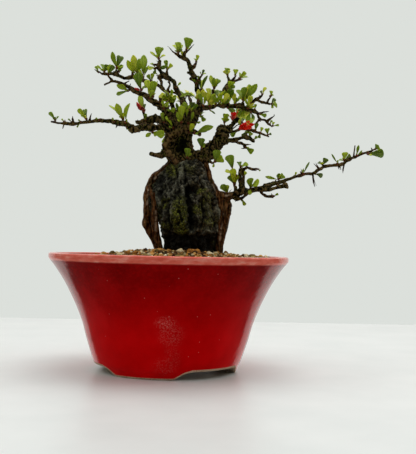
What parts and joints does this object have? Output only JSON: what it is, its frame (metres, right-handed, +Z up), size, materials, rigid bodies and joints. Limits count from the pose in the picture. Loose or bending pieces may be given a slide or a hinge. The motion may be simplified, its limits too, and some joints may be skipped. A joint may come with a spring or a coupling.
{
  "type": "japanese quince bonsai",
  "caption": "Small japanese quince bonsai grown over an upright rock, with new leaves and red flowers, in a round flared glazed pot on a footed ring.",
  "frame": {"origin": "middle of the base of the whole object's box, on the surface that the pot's feet stand on", "axes": "+Z up; the tree's best side faces -Y; +X to the right of that view, where the long low branch points"},
  "size_m": [0.2044, 0.145, 0.2014],
  "materials": {
    "glaze": "glossy dark crimson glaze, bare clay on the foot's edge",
    "net": "matte black drainage net",
    "wire": "satin brown anodised wire",
    "bark": "rough grey-brown bark with moss and pale lenticels",
    "rock": "wet dark rock with ridges, cracks and moss",
    "soil": "loose gritty mix of clay, pumice and lava grains",
    "pebble_cream": "dry porous pumice",
    "pebble_orange": "dry fired clay grain",
    "leaf": "fresh green leaf, slight gloss",
    "calyx": "red-brown calyx",
    "petal": "satin red petal",
    "stamen": "yellow anthers on pale filaments"
  },
  "bodies": {
    "root": {"pot": "glaze", "drainage_net": "net", "net_wire": "wire", "wood": "bark", "rock": "rock", "pebble_cream": "pebble_cream", "pebble_orange": "pebble_orange", "soil": "soil", "flower_calyx": "calyx", "flower_petal_1": "petal", "flower_petal_2": "petal", "flower_petal_3": "petal", "flower_petal_4": "petal", "flower_petal_5": "petal", "flower_stamens": "stamen", "flower_2_calyx": "calyx", "flower_2_petals": "petal", "bud_upper_left": "petal", "bud_shoot": "petal", "leaves_left_tip": "leaf", "leaves_left_end": "leaf", "leaves_left_mid": "leaf", "leaves_upper_left": "leaf", "leaves_below_left": "leaf", "leaves_rising_under": "leaf", "leaves_rising_mid": "leaf", "leaves_rising_inner": "leaf", "leaves_top_left_tip": "leaf", "leaves_top_left_spur": "leaf", "leaves_top_left_mid": "leaf", "leaves_top_middle_side": "leaf", "leaves_top_middle_tip": "leaf", "leaves_centre": "leaf", "leaves_apex_left": "leaf", "leaves_apex_top": "leaf", "leaves_apex_low": "leaf", "leaves_right_first": "leaf", "leaves_right_second": "leaf", "leaves_right_third": "leaf", "leaves_right_fourth": "leaf", "leaves_right_fifth": "leaf", "leaves_right_fan": "leaf", "leaves_riser_tip": "leaf", "leaves_riser_far": "leaf", "leaves_right_top_end": "leaf", "leaves_knob": "leaf", "leaves_by_flower": "leaf", "leaves_trunk_front": "leaf", "leaves_trunk_right": "leaf", "leaves_limb_low": "leaf", "leaves_twig_top": "leaf", "leaves_twig_low": "leaf", "leaves_long_first": "leaf", "leaves_long_middle": "leaf", "leaves_long_far": "leaf", "leaves_long_end": "leaf", "leaves_long_tip": "leaf", "leaves_back_top": "leaf", "leaves_back_side": "leaf", "leaves_back_inner": "leaf"}
  },
  "joints": []
}
